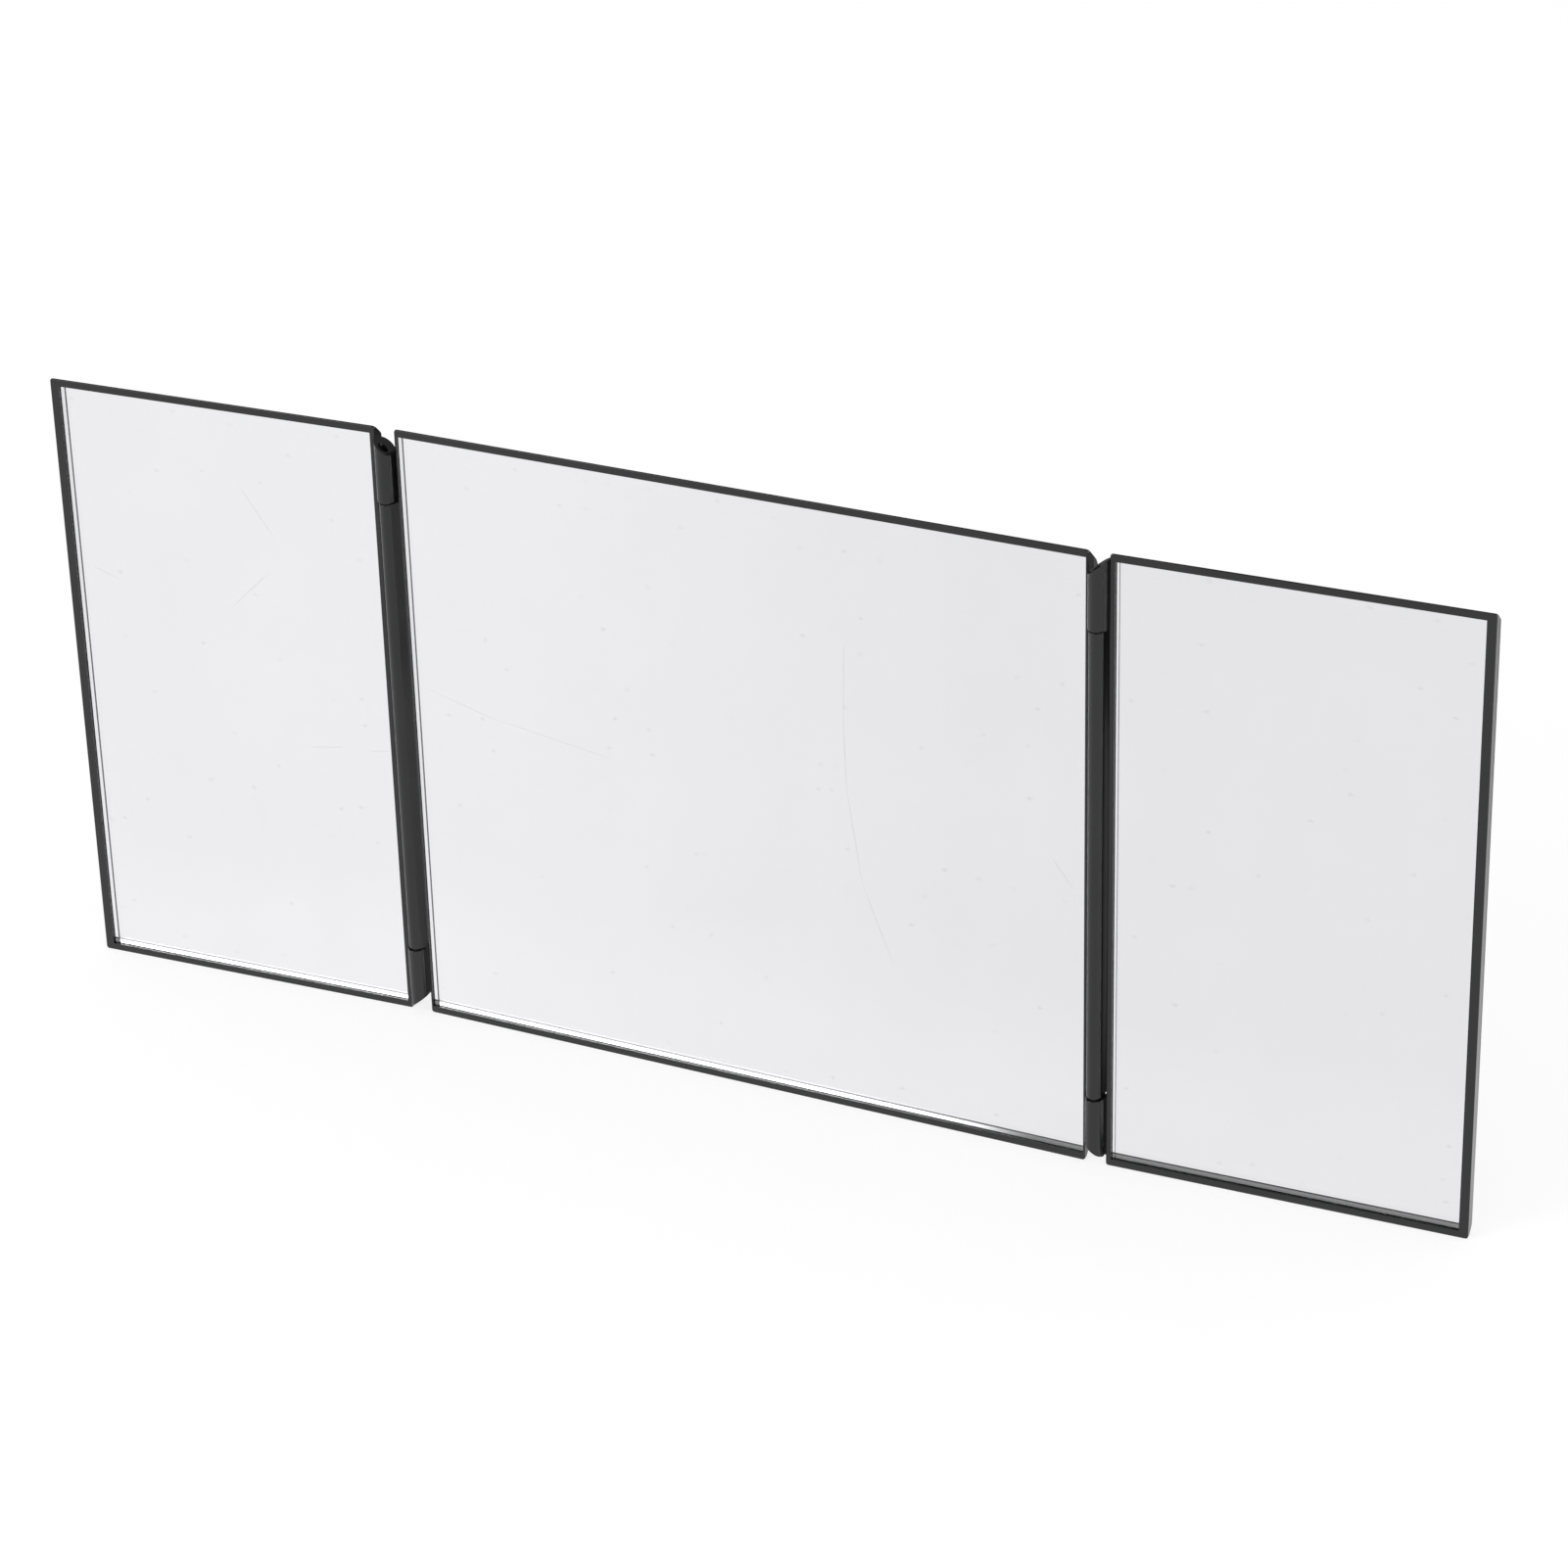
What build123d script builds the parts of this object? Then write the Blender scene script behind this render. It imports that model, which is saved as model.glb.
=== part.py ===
from build123d import *
import math
import os

# Three-panel folding mirror: a centre panel and two wings that fold over it like doors.
# Each panel is a black moulded tray that holds a thin mirror glass on foam strips.
# Millimetres. The front looks along -Y, +X is to the viewer's right, +Z is up.
# Pieces are drawn with the plane of the front lips at Y = 0, and depth runs back from it.
# At the end they move forward, so that the origin is at the middle of the centre panel's foot.

# Panels
panel_height = 225.0
centre_width = 251.8
tray_depth = 8.8
lip_width = 2.55
wing_outer_lip = 3.2
centre_hinge_lip = 0.7
wing_hinge_lip = 1.8
lip_height = 1.2
corner_radius = 1.0
front_round = 0.25
fold_gap = 0.5

# Tray shell behind the lip
edge_flat = 0.6
edge_slope = 47.0
back_radius = 8.0
side_wall_depth = 3.8
shell_wall = 1.6
seat_width = 2.0

# Mirror glass and the foam behind it
glass_thickness = 2.0
glass_clearance = 0.15
glass_arris = 0.25
foam_length = 84.0
foam_height = 18.0
foam_pitch = 64.0

# Hinges
wing_barrel = 3.0
centre_barrel = 2.6
barrel_gap = 0.75
axis_forward = 1.4
knuckle_length = 26.4
joint_gap = 0.5
knuckle_round = 0.4
end_slant = 38.0
open_end_drop = 3.6
closed_end_drop = 1.8
barrel_stretch = 2.6
shoulder = 0.35
web_recess = 0.3
web_depth = 2.6
web_bite = 0.35
flank_depth = 4.4
flank_round = 0.5
pin_radius = 1.6
pin_length = 38.0
pin_recess = 3.0
pin_chamfer = 0.3
running_clearance = 0.05
seat_clearance = 0.02
bore_spare = 0.5

# Wing angles at rest, forward of flat
left_wing_angle = 2.85
right_wing_angle = -2.0

# Places that follow from the sizes above
half_width = centre_width / 2
hinge_x = half_width + barrel_gap + wing_barrel
wing_inner = hinge_x + wing_barrel + barrel_gap
wing_outer = 2 * hinge_x - fold_gap / 2
seat_depth = lip_height + glass_thickness
floor_depth = tray_depth - shell_wall
slant_rise = math.tan(math.radians(end_slant))
upper_joint = panel_height - knuckle_length
slant_height = panel_height - open_end_drop - (wing_inner - hinge_x) * slant_rise
pin_top = slant_height - pin_recess
pin_bottom = pin_top - pin_length


def block(low, high):
    """Box between two corners."""
    size = [top - bottom for bottom, top in zip(low, high)]
    middle = [(top + bottom) / 2 for bottom, top in zip(low, high)]
    return Pos(*middle) * Box(*size)


def post(x, radius, low, high):
    """Upright cylinder on a hinge axis."""
    return Pos(x, -axis_forward, (low + high) / 2) * Cylinder(radius, high - low)


def upside_down(shape):
    """Mirror a shape from the top of the panel to its foot."""
    return mirror(shape, about=Plane.XY.offset(panel_height / 2))


def shell_body(left, right, start, inset):
    """Tray shape from depth start to the back, with sloped and rounded top and bottom edges.

    inset moves every face inwards, for the hollow of the shell."""
    slope = math.radians(edge_slope)
    back = tray_depth - inset
    radius = back_radius - inset

    def drop(depth):
        return (depth - edge_flat) / math.tan(slope) + inset / math.sin(slope)

    turn_depth = back - radius + radius * math.cos(slope)
    arc_centre = panel_height - drop(turn_depth) - radius * math.sin(slope)

    def on_arc(angle):
        return (back - radius + radius * math.cos(angle), arc_centre + radius * math.sin(angle))

    def at_foot(point):
        return (point[0], panel_height - point[1])

    front_top = (start, panel_height - drop(start))
    upper_arc = (on_arc(slope), on_arc(slope / 2), on_arc(0))
    lower_arc = tuple(at_foot(point) for point in upper_arc)
    outline = [
        Polyline(at_foot(front_top), front_top, upper_arc[0]),
        ThreePointArc(*upper_arc),
        Line(upper_arc[2], lower_arc[2]),
        ThreePointArc(*lower_arc),
        Line(lower_arc[0], at_foot(front_top)),
    ]
    section = Plane.YZ.offset(left) * make_face(outline)
    return extrude(section, amount=right - left, dir=(1, 0, 0))


def tray(left, right, left_lip, right_lip, round_right):
    """One tray: outer shell, glass pocket, glass seat and the hollow behind it."""
    body = shell_body(left, right, edge_flat, 0)
    body += block((left, 0, 0), (right, edge_flat, panel_height))
    plan = block((left, 0, 0), (right, tray_depth, panel_height))
    plan = fillet(plan.edges().filter_by(Axis.Y), corner_radius)
    if round_right:
        back_edge = plan.edges().filter_by(Axis.Z).group_by(Axis.X)[-1].sort_by(Axis.Y)[-1]
        plan = fillet(back_edge, tray_depth - side_wall_depth)
    body &= plan
    front = body.faces().sort_by(Axis.Y)[0]
    body = fillet(front.outer_wire().edges(), front_round)
    body -= block((left + left_lip, 0, lip_width),
                  (right - right_lip, seat_depth, panel_height - lip_width))
    rim = seat_width + lip_width
    hollow = shell_body(left + left_lip + seat_width, right - right_lip - seat_width, seat_depth, shell_wall)
    hollow &= block((left, seat_depth, rim), (right, floor_depth, panel_height - rim))
    return body - hollow


def glass(left, right, left_lip, right_lip):
    """Mirror glass in its pocket, with the front edges ground off."""
    low = (left + left_lip + glass_clearance, lip_height, lip_width + glass_clearance)
    high = (right - right_lip - glass_clearance, seat_depth, panel_height - lip_width - glass_clearance)
    plate = block(low, high)
    front = plate.faces().sort_by(Axis.Y)[0]
    return chamfer(front.edges(), glass_arris)


def foam(x, row):
    """Double-sided foam strip between the glass and the tray floor; row counts up from the middle."""
    z = panel_height / 2 + row * foam_pitch
    return block((x - foam_length / 2, seat_depth, z - foam_height / 2),
                 (x + foam_length / 2, floor_depth, z + foam_height / 2))


def touch(radius, edge):
    """Where a flat that starts at an edge meets the front of a barrel on the right hinge."""
    across = edge[0] - hinge_x
    back = edge[1] + axis_forward
    turn = math.acos(radius / math.hypot(across, back)) - math.atan2(back, abs(across))
    return (hinge_x + math.copysign(radius * math.cos(turn), across), -axis_forward - radius * math.sin(turn))


def centre_knuckle():
    """Long middle knuckle of the right hinge, with a flat from its barrel to the edge of the lip."""
    low = knuckle_length + joint_gap / 2
    high = upper_joint - joint_gap / 2
    barrel = post(hinge_x, centre_barrel, low, high)
    barrel = fillet(barrel.edges().filter_by(GeomType.CIRCLE), knuckle_round)
    root = half_width - web_bite
    free = hinge_x + centre_barrel
    edge = (half_width, 0)
    outline = Polyline((hinge_x, -axis_forward), touch(centre_barrel, edge), edge, (root, 0),
                       (root, flank_depth), (free, flank_depth), (free, -axis_forward), close=True)
    web = extrude(Pos(0, 0, low) * make_face(outline), amount=high - low, dir=(0, 0, 1))
    corner = web.edges().filter_by(Axis.Z).sort_by_distance((free, flank_depth, (low + high) / 2))[0]
    return barrel + fillet(corner, flank_round)


def centre_bore():
    """Upper pin bore in the centre knuckle of the right hinge."""
    return post(hinge_x, pin_radius + seat_clearance, pin_bottom - bore_spare, upper_joint)


def wing_knuckle(drop):
    """Short upper knuckle of the right wing: a barrel stretched to the back, with a flat shoulder beside
    the wing and a web to its wall. Its outer end is cut on a slant, which meets the wall that far down."""
    low = upper_joint + joint_gap / 2
    plan = Pos(hinge_x, barrel_stretch / 2 - axis_forward, low)
    plan *= SlotCenterToCenter(barrel_stretch, 2 * wing_barrel, rotation=90)
    barrel = extrude(plan, amount=panel_height - low, dir=(0, 0, 1))
    barrel = fillet(barrel.edges().group_by(Axis.Z)[0], knuckle_round)
    root = wing_inner + web_bite
    edge = (hinge_x + wing_barrel + shoulder, -axis_forward)
    outline = Polyline((hinge_x, -axis_forward), touch(wing_barrel, edge), edge, (edge[0], web_recess),
                       (root, web_recess), (root, web_depth), (hinge_x, web_depth), close=True)
    web = extrude(Pos(0, 0, low) * make_face(outline), amount=panel_height - low, dir=(0, 0, 1))
    normal = (-math.sin(math.radians(end_slant)), 0, math.cos(math.radians(end_slant)))
    cut = Plane(origin=(wing_inner, 0, panel_height - drop), x_dir=(0, 1, 0), z_dir=normal)
    return split(barrel + web, bisect_by=cut, keep=Keep.BOTTOM) - wing_bore()


def wing_bore():
    """Running bore of the upper pin in the right wing's knuckle."""
    return post(hinge_x, pin_radius + running_clearance, upper_joint, panel_height)


def pin():
    """Upper steel pin of the right hinge, pressed into the centre knuckle."""
    rod = post(hinge_x, pin_radius, pin_bottom, pin_top)
    return chamfer(rod.edges().filter_by(GeomType.CIRCLE), pin_chamfer)


def turn_wing(shape, side, angle):
    """Swing a wing's piece forward about its hinge axis; side is 1 on the right and -1 on the left."""
    axis = Axis((side * hinge_x, -axis_forward, 0), (0, 0, -side))
    return shape.rotate(axis, angle)


def other_side(shape):
    """The same shape on the left side."""
    return mirror(shape, about=Plane.YZ)


def end_for_end(shape):
    """The same wing piece turned end for end, for the left side."""
    return shape.rotate(Axis((0, 0, panel_height / 2), (0, 1, 0)), 180)


# Centre panel
centre_span = (-half_width, half_width, centre_hinge_lip, centre_hinge_lip)
centre_knuckles = centre_knuckle() - centre_bore() - upside_down(centre_bore())
centre_tray = tray(*centre_span, round_right=False)
centre_tray += centre_knuckles
centre_tray += other_side(centre_knuckles)

# Right wing, laid flat beside the centre panel
wing_span = (wing_inner, wing_outer, wing_hinge_lip, wing_outer_lip)
wing_tray = tray(*wing_span, round_right=True)
wing_tray += wing_knuckle(closed_end_drop)
wing_tray += upside_down(wing_knuckle(open_end_drop))
wing_glass = glass(*wing_span)

nodes = {
    "centre_tray": centre_tray,
    "centre_mirror": glass(*centre_span),
    "left_tray": turn_wing(end_for_end(wing_tray), -1, left_wing_angle),
    "left_mirror": turn_wing(end_for_end(wing_glass), -1, left_wing_angle),
    "right_tray": turn_wing(wing_tray, 1, right_wing_angle),
    "right_mirror": turn_wing(wing_glass, 1, right_wing_angle),
    "right_upper_hinge_pin": pin(),
    "right_lower_hinge_pin": upside_down(pin()),
    "left_upper_hinge_pin": other_side(pin()),
    "left_lower_hinge_pin": other_side(upside_down(pin())),
}
for row, place in ((1, "upper"), (0, "middle"), (-1, "lower")):
    centre_foam = foam(half_width / 2, row)
    wing_foam = foam((wing_inner + wing_outer) / 2, row)
    nodes[f"centre_{place}_right_foam_strip"] = centre_foam
    nodes[f"centre_{place}_left_foam_strip"] = other_side(centre_foam)
    nodes[f"right_{place}_foam_strip"] = turn_wing(wing_foam, 1, right_wing_angle)
    nodes[f"left_{place}_foam_strip"] = turn_wing(other_side(wing_foam), -1, left_wing_angle)

os.makedirs("parts", exist_ok=True)
for name, shape in nodes.items():
    placed = Pos(0, -tray_depth / 2, 0) * shape
    export_step(placed, f"parts/{name}.step")
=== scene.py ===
import math
import bmesh
import bpy
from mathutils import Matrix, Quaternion, Vector


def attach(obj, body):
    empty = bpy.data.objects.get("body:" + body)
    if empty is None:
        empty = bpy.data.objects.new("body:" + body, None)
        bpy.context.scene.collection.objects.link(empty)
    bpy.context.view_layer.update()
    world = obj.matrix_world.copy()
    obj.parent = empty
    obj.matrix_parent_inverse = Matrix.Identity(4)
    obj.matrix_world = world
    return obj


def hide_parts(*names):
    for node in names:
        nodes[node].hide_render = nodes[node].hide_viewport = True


# Looks of the folding three-panel mirror, in metres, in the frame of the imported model.
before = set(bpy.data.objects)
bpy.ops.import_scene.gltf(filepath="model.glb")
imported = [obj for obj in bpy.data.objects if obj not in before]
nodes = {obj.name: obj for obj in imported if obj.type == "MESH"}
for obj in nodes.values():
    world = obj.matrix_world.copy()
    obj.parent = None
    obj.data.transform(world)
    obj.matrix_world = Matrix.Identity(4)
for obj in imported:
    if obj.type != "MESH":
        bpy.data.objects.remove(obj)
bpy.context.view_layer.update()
WHITE = (1, 1, 1, 1)


class Value:
    """A shader socket that takes part in sums."""

    def __init__(self, finish, socket):
        self.finish = finish
        self.socket = socket

    def sum(self, operation, first, second):
        return self.finish.node("ShaderNodeMath", {"operation": operation}, {0: first, 1: second})

    def __add__(self, other):
        return self.sum("ADD", self, other)

    def __radd__(self, other):
        return self.sum("ADD", other, self)

    def __sub__(self, other):
        return self.sum("SUBTRACT", self, other)

    def __rsub__(self, other):
        return self.sum("SUBTRACT", other, self)

    def __mul__(self, other):
        return self.sum("MULTIPLY", self, other)

    def __rmul__(self, other):
        return self.sum("MULTIPLY", other, self)

    def __gt__(self, other):
        return self.sum("GREATER_THAN", self, other)

    def __lt__(self, other):
        return self.sum("LESS_THAN", self, other)

    def at_least(self, other):
        return self.sum("MAXIMUM", self, other)


class Finish:
    """The node tree of a material, a lamp or the world."""

    def __init__(self, owner):
        owner.use_nodes = True
        self.tree = owner.node_tree
        self.tree.nodes.clear()

    def node(self, kind, settings=None, inputs=None, output=0):
        """Add a node and give one of its outputs, or a list of them where output is a tuple."""
        made = self.tree.nodes.new(kind)
        for name, setting in (settings or {}).items():
            if name == "stops":
                ramp = made.color_ramp.elements
                while len(ramp) < len(setting):
                    ramp.new(0.5)
                for element, (place, colour) in zip(ramp, setting):
                    element.position = place
                    element.color = (*colour, 1)
            else:
                setattr(made, name, setting)
        for name, value in (inputs or {}).items():
            if isinstance(value, Value):
                self.tree.links.new(value.socket, made.inputs[name])
            else:
                made.inputs[name].default_value = value
        if isinstance(output, tuple):
            return [Value(self, made.outputs[name]) for name in output]
        return Value(self, made.outputs[output])

    def place(self, scale=(1, 1, 1), turn=(0, 0, 0)):
        """Object coordinates in metres, stretched and turned for a pattern."""
        here = self.node("ShaderNodeTexCoord", output="Object")
        return self.node("ShaderNodeMapping", inputs={"Vector": here, "Scale": scale, "Rotation": turn})

    def noise(self, size, detail=2.0, rough=0.5, scale=(1, 1, 1), turn=(0, 0, 0)):
        """Noise from 0 to 1, with features about size metres across."""
        sockets = {"Vector": self.place(scale, turn), "Scale": 1 / size, "Detail": detail, "Roughness": rough}
        return self.node("ShaderNodeTexNoise", inputs=sockets)

    def ramp(self, value, stops):
        return self.node("ShaderNodeValToRGB", {"stops": stops}, {"Fac": value})

    def mix(self, factor, first, second):
        """From the first colour to the second."""
        sockets = {"Factor": factor, "A": first, "B": second}
        return self.node("ShaderNodeMix", {"data_type": "RGBA"}, sockets, output=2)

    def ease(self, value, low, high, first=0.0, last=1.0):
        """Goes softly from first, where value is low, to last, where it is high."""
        sockets = {"Value": value, "From Min": low, "From Max": high, "To Min": first, "To Max": last}
        return self.node("ShaderNodeMapRange", {"interpolation_type": "SMOOTHSTEP"}, sockets)

    def split(self, vector):
        """The three numbers of a vector."""
        return self.node("ShaderNodeSeparateXYZ", inputs={"Vector": vector}, output=("X", "Y", "Z"))

    def hairline(self, start, end, width):
        """1 along the middle of a fine line between two (x, z) points, fading to 0 at its rim and ends."""
        middle = (start + end) / 2
        across, rise = end - start
        here = self.node("ShaderNodeTexCoord", output="Object")
        along = self.node("ShaderNodeMapping", {"vector_type": "TEXTURE"}, {
            "Vector": here, "Location": (middle[0], 0, middle[1]),
            "Rotation": (0, -math.atan2(rise, across), 0), "Scale": (math.hypot(across, rise) / 2, 1, width)})
        sharp = self.node("ShaderNodeTexGradient", {"gradient_type": "SPHERICAL"}, {"Vector": along},
                          output="Fac")
        return self.ease(sharp, 0.0, 0.4)

    def bump(self, height, strength, distance):
        sockets = {"Height": height, "Strength": strength, "Distance": distance}
        return self.node("ShaderNodeBump", inputs=sockets)

    def emission(self, strength):
        return self.node("ShaderNodeEmission", inputs={"Color": WHITE, "Strength": strength})

    def shade(self, **sockets):
        """The one Principled shader of a piece, joined to the output."""
        named = {name.replace("_", " "): value for name, value in sockets.items()}
        self.output(self.node("ShaderNodeBsdfPrincipled", inputs=named))

    def output(self, surface, kind="ShaderNodeOutputMaterial"):
        end = self.tree.nodes.new(kind)
        self.tree.links.new(surface.socket, end.inputs["Surface"])


def new_finish(name):
    material = bpy.data.materials.new(name)
    return material, Finish(material)


def grey(level, tint=0.0):
    """A neutral colour, a little bluer with more tint."""
    return (level * (1 - tint), level, level * (1 + tint))


LIP_PLANE = -0.0044  # y of the front lips of the centre panel
HINGE_X = 0.12965  # x of the right hinge; the left one is at minus this
LEFT_TURN, RIGHT_TURN = math.radians(2.85), math.radians(-2.0)  # wings at rest, forward of flat
TEXTURE_FROM, TEXTURE_TO = 0.0045, 0.006  # how far behind the lips the mould's texture comes in


def black_plastic():
    """Black moulded plastic: satin in front, finely textured behind, with soft clouds and a little dust."""
    material, finish = new_finish("black_moulded_plastic")
    cloud = finish.noise(0.018, detail=3.0)
    grain = finish.noise(0.00045, detail=2.0)
    spark = finish.noise(0.0008, detail=2.0)
    dust = finish.noise(0.0016, detail=4.0, rough=0.7) > 0.72
    x, y = finish.split(finish.node("ShaderNodeTexCoord", output="Object"))[:2]
    left_lean = (-HINGE_X - x).at_least(0) * math.tan(LEFT_TURN)
    right_lean = (x - HINGE_X).at_least(0) * math.tan(RIGHT_TURN)
    back = finish.ease(y + (left_lean + right_lean), LIP_PLANE + TEXTURE_FROM, LIP_PLANE + TEXTURE_TO)
    smooth = finish.ramp(cloud, [(0.3, grey(0.006, 0.03)), (0.7, grey(0.009, 0.03))])
    textured = finish.ramp(cloud * 0.5 + spark * 0.5, [(0.35, grey(0.014, 0.03)), (0.65, grey(0.026, 0.03))])
    dusty = finish.mix(dust * 0.12, finish.mix(back, smooth, textured), (*grey(0.2), 1))
    finish.shade(Base_Color=dusty, Roughness=0.11 + cloud * 0.05 + grain * 0.05 + back * (0.2 + spark * 0.15),
                 Specular_IOR_Level=0.5, Normal=finish.bump(grain + back * spark * 3.0, 0.12, 0.00006))
    return material


GLASS_IOR = 1.52


def clear_glass():
    """Front and sides of a pane: clear float glass with a breath of haze."""
    material, finish = new_finish("clear_glass")
    haze = finish.noise(0.05, detail=3.0)
    tint = finish.ramp(haze, [(0.35, (0.985, 0.992, 0.99)), (0.65, (0.995, 1.0, 0.998))])
    finish.shade(Base_Color=tint, Roughness=0.0, IOR=GLASS_IOR, Transmission_Weight=1.0)
    return material


def ground_edge():
    """Arris of a pane: ground by hand, so clear but rough, and faintly chipped."""
    material, finish = new_finish("ground_glass_edge")
    chip = finish.noise(0.0012, detail=3.0)
    colour = finish.ramp(chip, [(0.35, (0.9, 0.93, 0.925)), (0.6, (0.97, 0.985, 0.98))])
    finish.shade(Base_Color=colour, Roughness=0.7 + chip * 0.2, IOR=GLASS_IOR, Transmission_Weight=1.0,
                 Normal=finish.bump(chip, 0.2, 0.0001))
    return material


# Hairlines on the mirrors, each from one (x, z) point to another, in millimetres.
HAIRLINES = [
    ((39, 179), (38, 142)), ((38, 150), (39, 116)), ((38.5, 124), (44.5, 83)), ((43.5, 88), (56, 56)),
    ((-123, 129), (-93, 121)), ((-100, 122.5), (-45, 114.5)), ((111.5, 113), (121.5, 100)),
    ((-251.5, 154.5), (-239.5, 150.5)), ((-190.5, 196.5), (-175, 174)), ((-178.5, 164), (-197, 145.5)),
    ((-169.5, 97), (-154.5, 99.5)), ((-146, 99.5), (-137, 101)),
]
HAIRLINE_WIDTH = 0.0005
SPECK_PITCH = 0.011  # one speck at most in each square of about this side
MARK_STRENGTH = 0.09  # how far the marks dim the silver


def silver_back():
    """Silver layer behind the glass, with faint smudges, specks and hairlines."""
    material, finish = new_finish("silver_layer")
    smudge = finish.noise(0.05, detail=4.0, rough=0.6)
    wipe = finish.noise(0.02, detail=2.0, scale=(1, 1, 0.12), turn=(0, 0.3, 0))
    worn = smudge * 0.6 + wipe * 0.4
    colour = finish.ramp(worn, [(0.3, (0.8365, 0.8300, 0.8490)), (0.7, (0.8465, 0.8400, 0.8590))])
    face = finish.place(scale=(0.7, 1, 1), turn=(-math.pi / 2, 0, 0))  # x and z, for a flat pattern
    gap, chance = finish.node("ShaderNodeTexVoronoi", {"voronoi_dimensions": "2D"},
                              {"Vector": face, "Scale": 1 / SPECK_PITCH}, output=("Distance", "Color"))
    ragged = gap + finish.noise(0.0015, detail=2.0) * 0.07
    marks = finish.ease(ragged, 0.055, 0.13, 1.2, 0.0) * finish.ease(chance, 0.5, 0.9)
    broken = 0.4 + finish.noise(0.004, detail=1.0)
    for start, end in HAIRLINES:
        marks = marks + finish.hairline(Vector(start) / 1000, Vector(end) / 1000, HAIRLINE_WIDTH) * broken
    dimmed = finish.mix(marks * MARK_STRENGTH, colour, (0.3, 0.3, 0.31, 1))
    finish.shade(Base_Color=dimmed, Metallic=1.0, Roughness=0.0)
    return material


def drawn_steel():
    """Hinge pin wire: drawn lengthwise, slightly dull."""
    material, finish = new_finish("drawn_steel")
    draw = finish.noise(0.0004, detail=3.0, scale=(1, 1, 0.03))
    colour = finish.ramp(draw, [(0.3, grey(0.34)), (0.7, grey(0.5))])
    finish.shade(Base_Color=colour, Metallic=1.0, Roughness=0.3 + draw * 0.2)
    return material


def foam_tape():
    """White closed-cell foam tape."""
    material, finish = new_finish("foam_tape")
    cells = finish.node("ShaderNodeTexVoronoi", inputs={"Vector": finish.place(), "Scale": 1 / 0.0011})
    colour = finish.ramp(cells, [(0.1, (0.82, 0.82, 0.78)), (0.6, (0.7, 0.7, 0.66))])
    finish.shade(Base_Color=colour, Roughness=0.85 + cells * 0.1, Normal=finish.bump(cells, 0.5, 0.0003))
    return material


PLASTIC = black_plastic()
CLEAR = clear_glass()
GROUND = ground_edge()
SILVER = silver_back()
STEEL = drawn_steel()
FOAM = foam_tape()


def dress(node, material):
    """Give a CAD node its finish."""
    shape = nodes[node]
    shape.data.materials.clear()
    shape.data.materials.append(material)


MIRRORS = {"centre_mirror": "centre_panel", "left_mirror": "left_wing", "right_mirror": "right_wing"}
COAT = 0.00005  # the paint that covers the silver
ARRIS = 0.2  # how much of the model's arris the stone leaves: it only breaks the sharp edge


def pane(node, body):
    """A mirror pane: clear front, ground edges, and silver behind. It stands for the CAD pane."""
    shell = bmesh.new()
    shell.from_mesh(nodes[node].data)
    bmesh.ops.remove_doubles(shell, verts=shell.verts, dist=1e-6)
    bmesh.ops.dissolve_limit(shell, angle_limit=0.01, verts=shell.verts, edges=shell.edges)
    largest = max((face for face in shell.faces if face.normal.y < 0), key=lambda face: face.calc_area())
    front = largest.normal.copy()
    for corner in largest.verts:
        for edge in corner.link_edges:
            rim = edge.other_vert(corner)
            if rim not in largest.verts:
                lean = front * front.dot(corner.co - rim.co)
                corner.co += (rim.co + lean - corner.co) * (1 - ARRIS)
                rim.co += lean * (1 - ARRIS)
    shell.normal_update()
    finishes = (CLEAR, GROUND, SILVER)
    for face in shell.faces:
        facing = face.normal.dot(front)  # 1 in front, -1 behind, and between them on the arris
        behind = facing < -0.9
        finish = SILVER if behind else GROUND if 0.3 < facing < 0.9 else CLEAR
        face.material_index = finishes.index(finish)
        face.smooth = False
        if behind:
            bmesh.ops.translate(shell, verts=face.verts, vec=front * COAT)
    mesh = bpy.data.meshes.new(node + "_pane")
    shell.to_mesh(mesh)
    shell.free()
    piece = bpy.data.objects.new(node + "_pane", mesh)
    bpy.context.scene.collection.objects.link(piece)
    for finish in finishes:
        mesh.materials.append(finish)
    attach(piece, body)
    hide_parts(node)


for name in nodes:
    if name.endswith("tray"):
        dress(name, PLASTIC)
    elif name.endswith("pin"):
        dress(name, STEEL)
    elif name.endswith("strip"):
        dress(name, FOAM)
    elif name in MIRRORS:
        dress(name, SILVER)
for node, body in MIRRORS.items():
    pane(node, body)


def seen_in_gloss(finish):
    """1 for rays that come from gloss or through glass."""
    gloss, glass = finish.node("ShaderNodeLightPath", output=("Is Glossy Ray", "Is Transmission Ray"))
    return gloss + glass > 0.5


FLOOR_HALF = 8.0
FLOOR_MATT = 0.9  # the floor's own white, which lights the object from below
FLOOR_SEEN = 0.3  # the part of it that the camera sees, and that keeps the shadow
FLOOR_LIFT = 0.77  # added for the camera alone, so that the floor looks white
PAINTED_SHADOW_DARK = 0.9  # how far the painted shadow behind the mirror darkens the floor's glow for gloss
PAINTED_STRIP_BRIGHT = 0.35  # the painted light strip beside the painted shadow, which paints a bright reflection on the right-hand side wall


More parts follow.
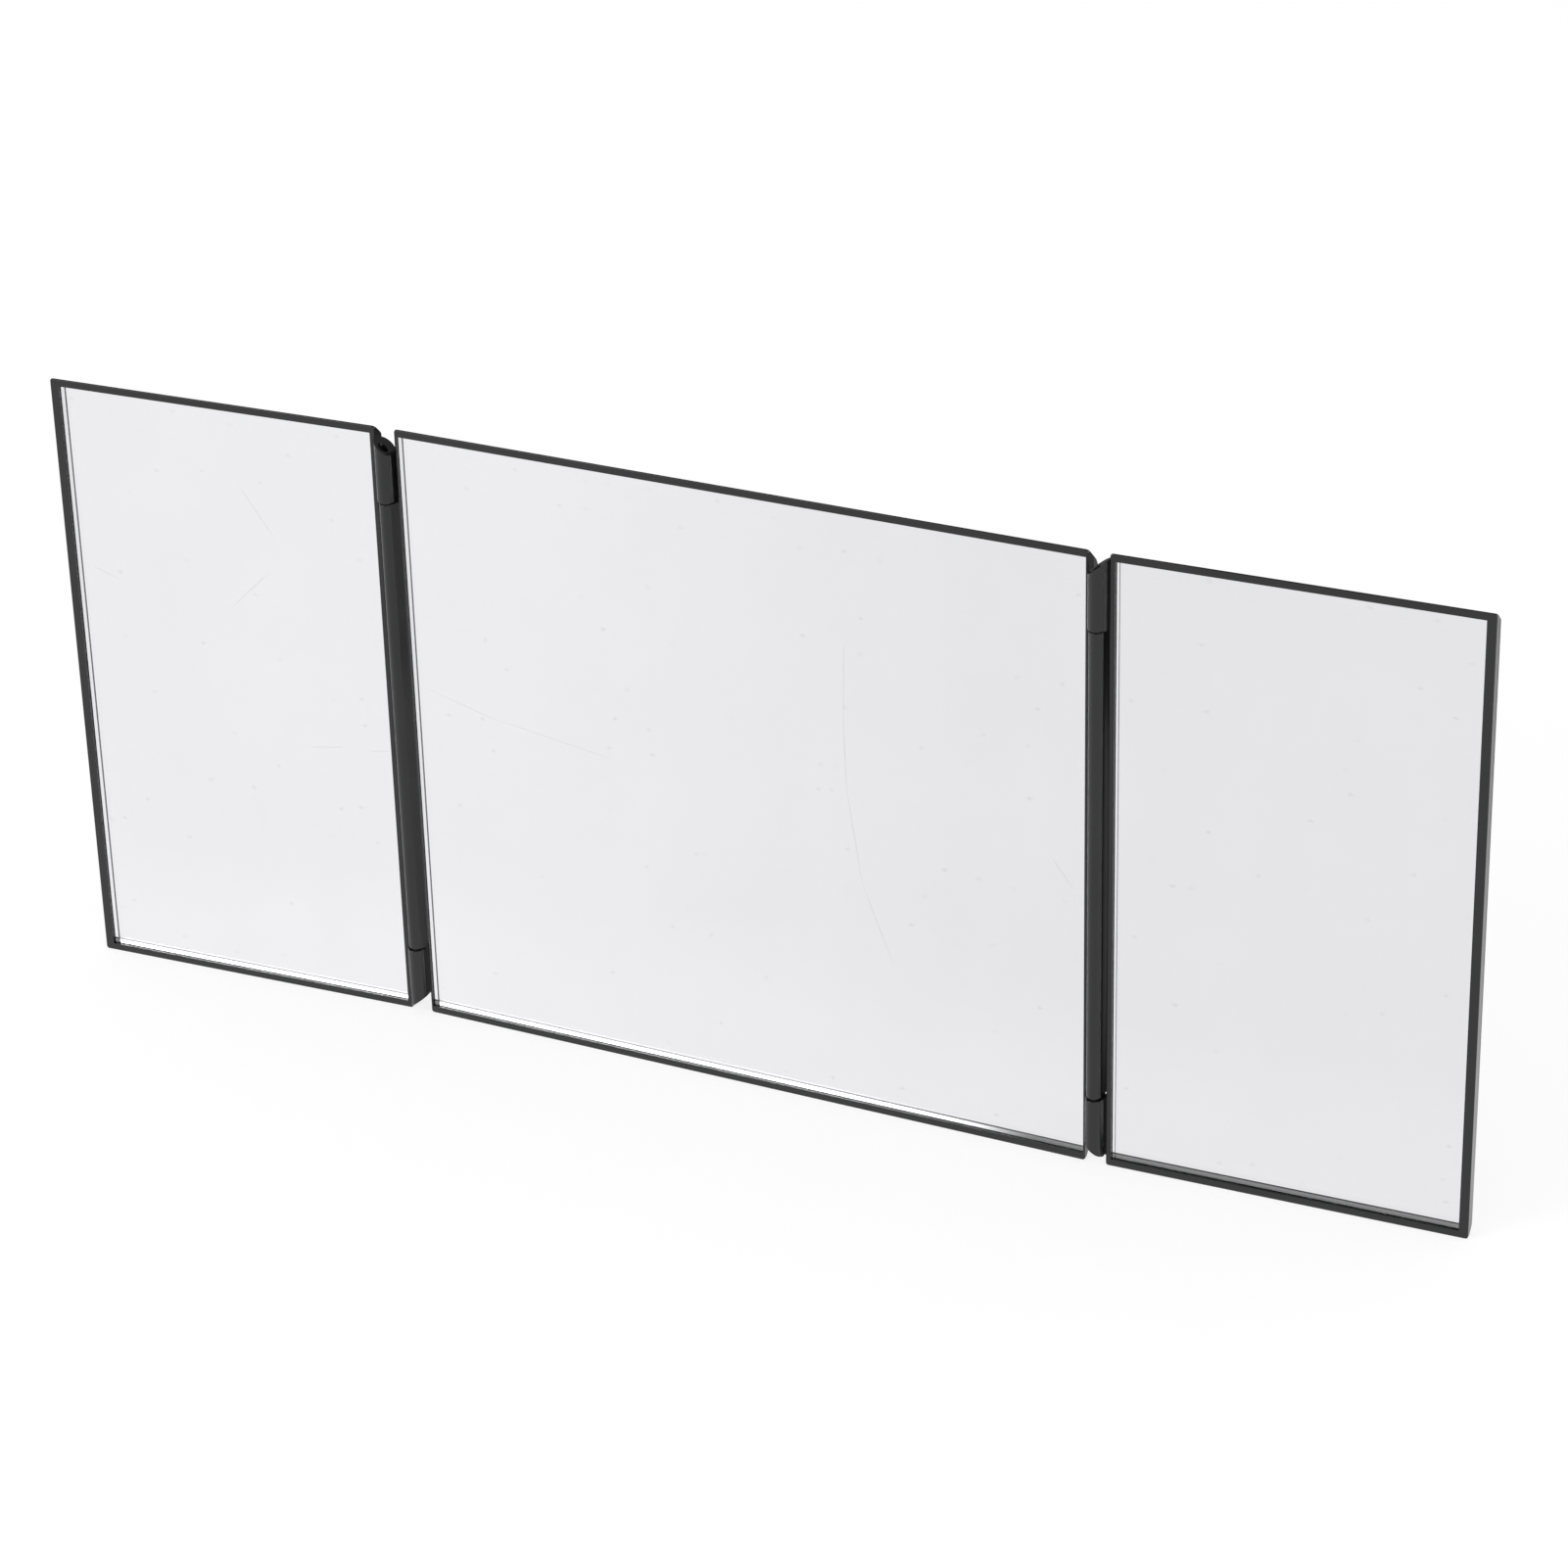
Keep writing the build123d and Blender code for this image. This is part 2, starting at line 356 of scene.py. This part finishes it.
def studio_floor():
    """White floor that keeps the soft shadow. For gloss and glass it glows with painted light and shade:
    greyer to the right, a little brighter just in front, a painted shadow behind the mirror and a painted
    light strip beyond the right wing.
    """
    shell = bmesh.new()
    bmesh.ops.create_grid(shell, x_segments=1, y_segments=1, size=FLOOR_HALF)
    mesh = bpy.data.meshes.new("studio_floor")
    shell.to_mesh(mesh)
    shell.free()
    floor = bpy.data.objects.new("studio_floor", mesh)
    bpy.context.scene.collection.objects.link(floor)
    material, finish = new_finish("studio_floor")
    camera = finish.node("ShaderNodeLightPath", output="Is Camera Ray")
    paint = FLOOR_MATT - camera * (FLOOR_MATT - FLOOR_SEEN)
    matt = finish.node("ShaderNodeBsdfDiffuse", inputs={"Color": paint})
    seen = finish.node("ShaderNodeAddShader", inputs={0: matt, 1: finish.emission(camera * FLOOR_LIFT)})
    x, y = finish.split(finish.node("ShaderNodeTexCoord", output="Object"))[:2]
    # painted shade for gloss and glass: the glow greys towards the right and brightens a little just in front
    # of the mirror
    white = finish.ease(x - y * 0.5, -0.17, 0.17, 1.02, 0.942) + finish.ease(y, -0.11, -0.03, 0.0, 0.03)
    aside = x - y * 0.25
    # painted shadow of the mirror on the floor, seen only in gloss: far back everywhere, and close behind the
    # right half so that the hinge crevice walls reflect dark
    far = finish.ease(y, 0.28, 0.34)
    near = finish.ease(aside, 0.07, 0.12) * finish.ease(y, 0.0, 0.03)
    painted_shadow = finish.ease(aside, 0.225, 0.255, 1.0, 0.0) * (far + near - far * near)
    # painted light strip beyond the right wing, which paints a bright reflection on the right-hand side wall
    rim = finish.ease(aside, 0.24, 0.27) * finish.ease(y, 0.0, 0.05)
    glow = finish.emission(white * (1.0 - painted_shadow * PAINTED_SHADOW_DARK) + rim * PAINTED_STRIP_BRIGHT)
    finish.output(finish.node("ShaderNodeMixShader", inputs={0: seen_in_gloss(finish), 1: seen, 2: glow}))
    mesh.materials.append(material)


WORLD_LIGHT = 0.7
OVERHEAD = 0.25  # what gloss and glass see straight above


def studio_world():
    """White all round for the camera; dim overhead for gloss and glass."""
    world = bpy.data.worlds.new("studio")
    bpy.context.scene.world = world
    finish = Finish(world)
    camera = finish.node("ShaderNodeLightPath", output="Is Camera Ray")
    height = finish.split(finish.node("ShaderNodeTexCoord", output="Generated"))[2]
    overhead = finish.ease(height, 0.1, 0.4, 1.0, OVERHEAD)
    strength = WORLD_LIGHT + camera * (1 - WORLD_LIGHT) + seen_in_gloss(finish) * (overhead - WORLD_LIGHT)
    light = finish.node("ShaderNodeBackground", inputs={"Color": WHITE, "Strength": strength})
    finish.output(light, "ShaderNodeOutputWorld")


LAMP_AIM = Vector((0, 0, 0.1))  # about the middle of the centre panel


def softbox(name, place, size, radiance):
    """Square soft light that fades towards its rim; radiance is how bright its middle is."""
    light = bpy.data.lights.new(name, "AREA")
    light.size = size
    light.energy = radiance * math.pi * size * size
    finish = Finish(light)
    across, up = finish.split(finish.node("ShaderNodeNewGeometry", output="Parametric"))[:2]
    fade = finish.ease(across * (1 - across), 0.0, 0.15) * finish.ease(up * (1 - up), 0.0, 0.15)
    finish.output(finish.emission(fade), "ShaderNodeOutputLight")
    lamp = bpy.data.objects.new(name, light)
    lamp.location = place
    lamp.rotation_mode = "QUATERNION"
    lamp.rotation_quaternion = (LAMP_AIM - lamp.location).to_track_quat("-Z", "Y")
    bpy.context.scene.collection.objects.link(lamp)


SENSOR_WIDTH, CAMERA_LENS = 36.0, 111.18  # millimetres
CAMERA_PLACE = Vector((0.65778, -1.29017, 0.85899))
CAMERA_AIM = Vector((0.016798, LIP_PLANE, 0.120177))
CAMERA_ROLL = math.radians(-1.5566)


def photo_camera():
    """The photograph's viewpoint, fitted to the panel corners."""
    camera = bpy.data.cameras.new("photo_camera")
    camera.sensor_width = SENSOR_WIDTH
    camera.lens = CAMERA_LENS
    camera.clip_end = 50.0
    view = bpy.data.objects.new("photo_camera", camera)
    view.location = CAMERA_PLACE
    view.rotation_mode = "QUATERNION"
    level = (CAMERA_AIM - CAMERA_PLACE).to_track_quat("-Z", "Y")
    view.rotation_quaternion = level @ Quaternion((0, 0, 1), CAMERA_ROLL)
    bpy.context.scene.collection.objects.link(view)
    bpy.context.scene.camera = view


studio_floor()
studio_world()
softbox("key_softbox", (-1.06, -1.48, 1.0), size=0.98, radiance=5.0)
softbox("fill_softbox", (1.5, -0.9, 1.4), size=1.47, radiance=1.0)
photo_camera()
bpy.context.scene.view_settings.view_transform = "Standard"
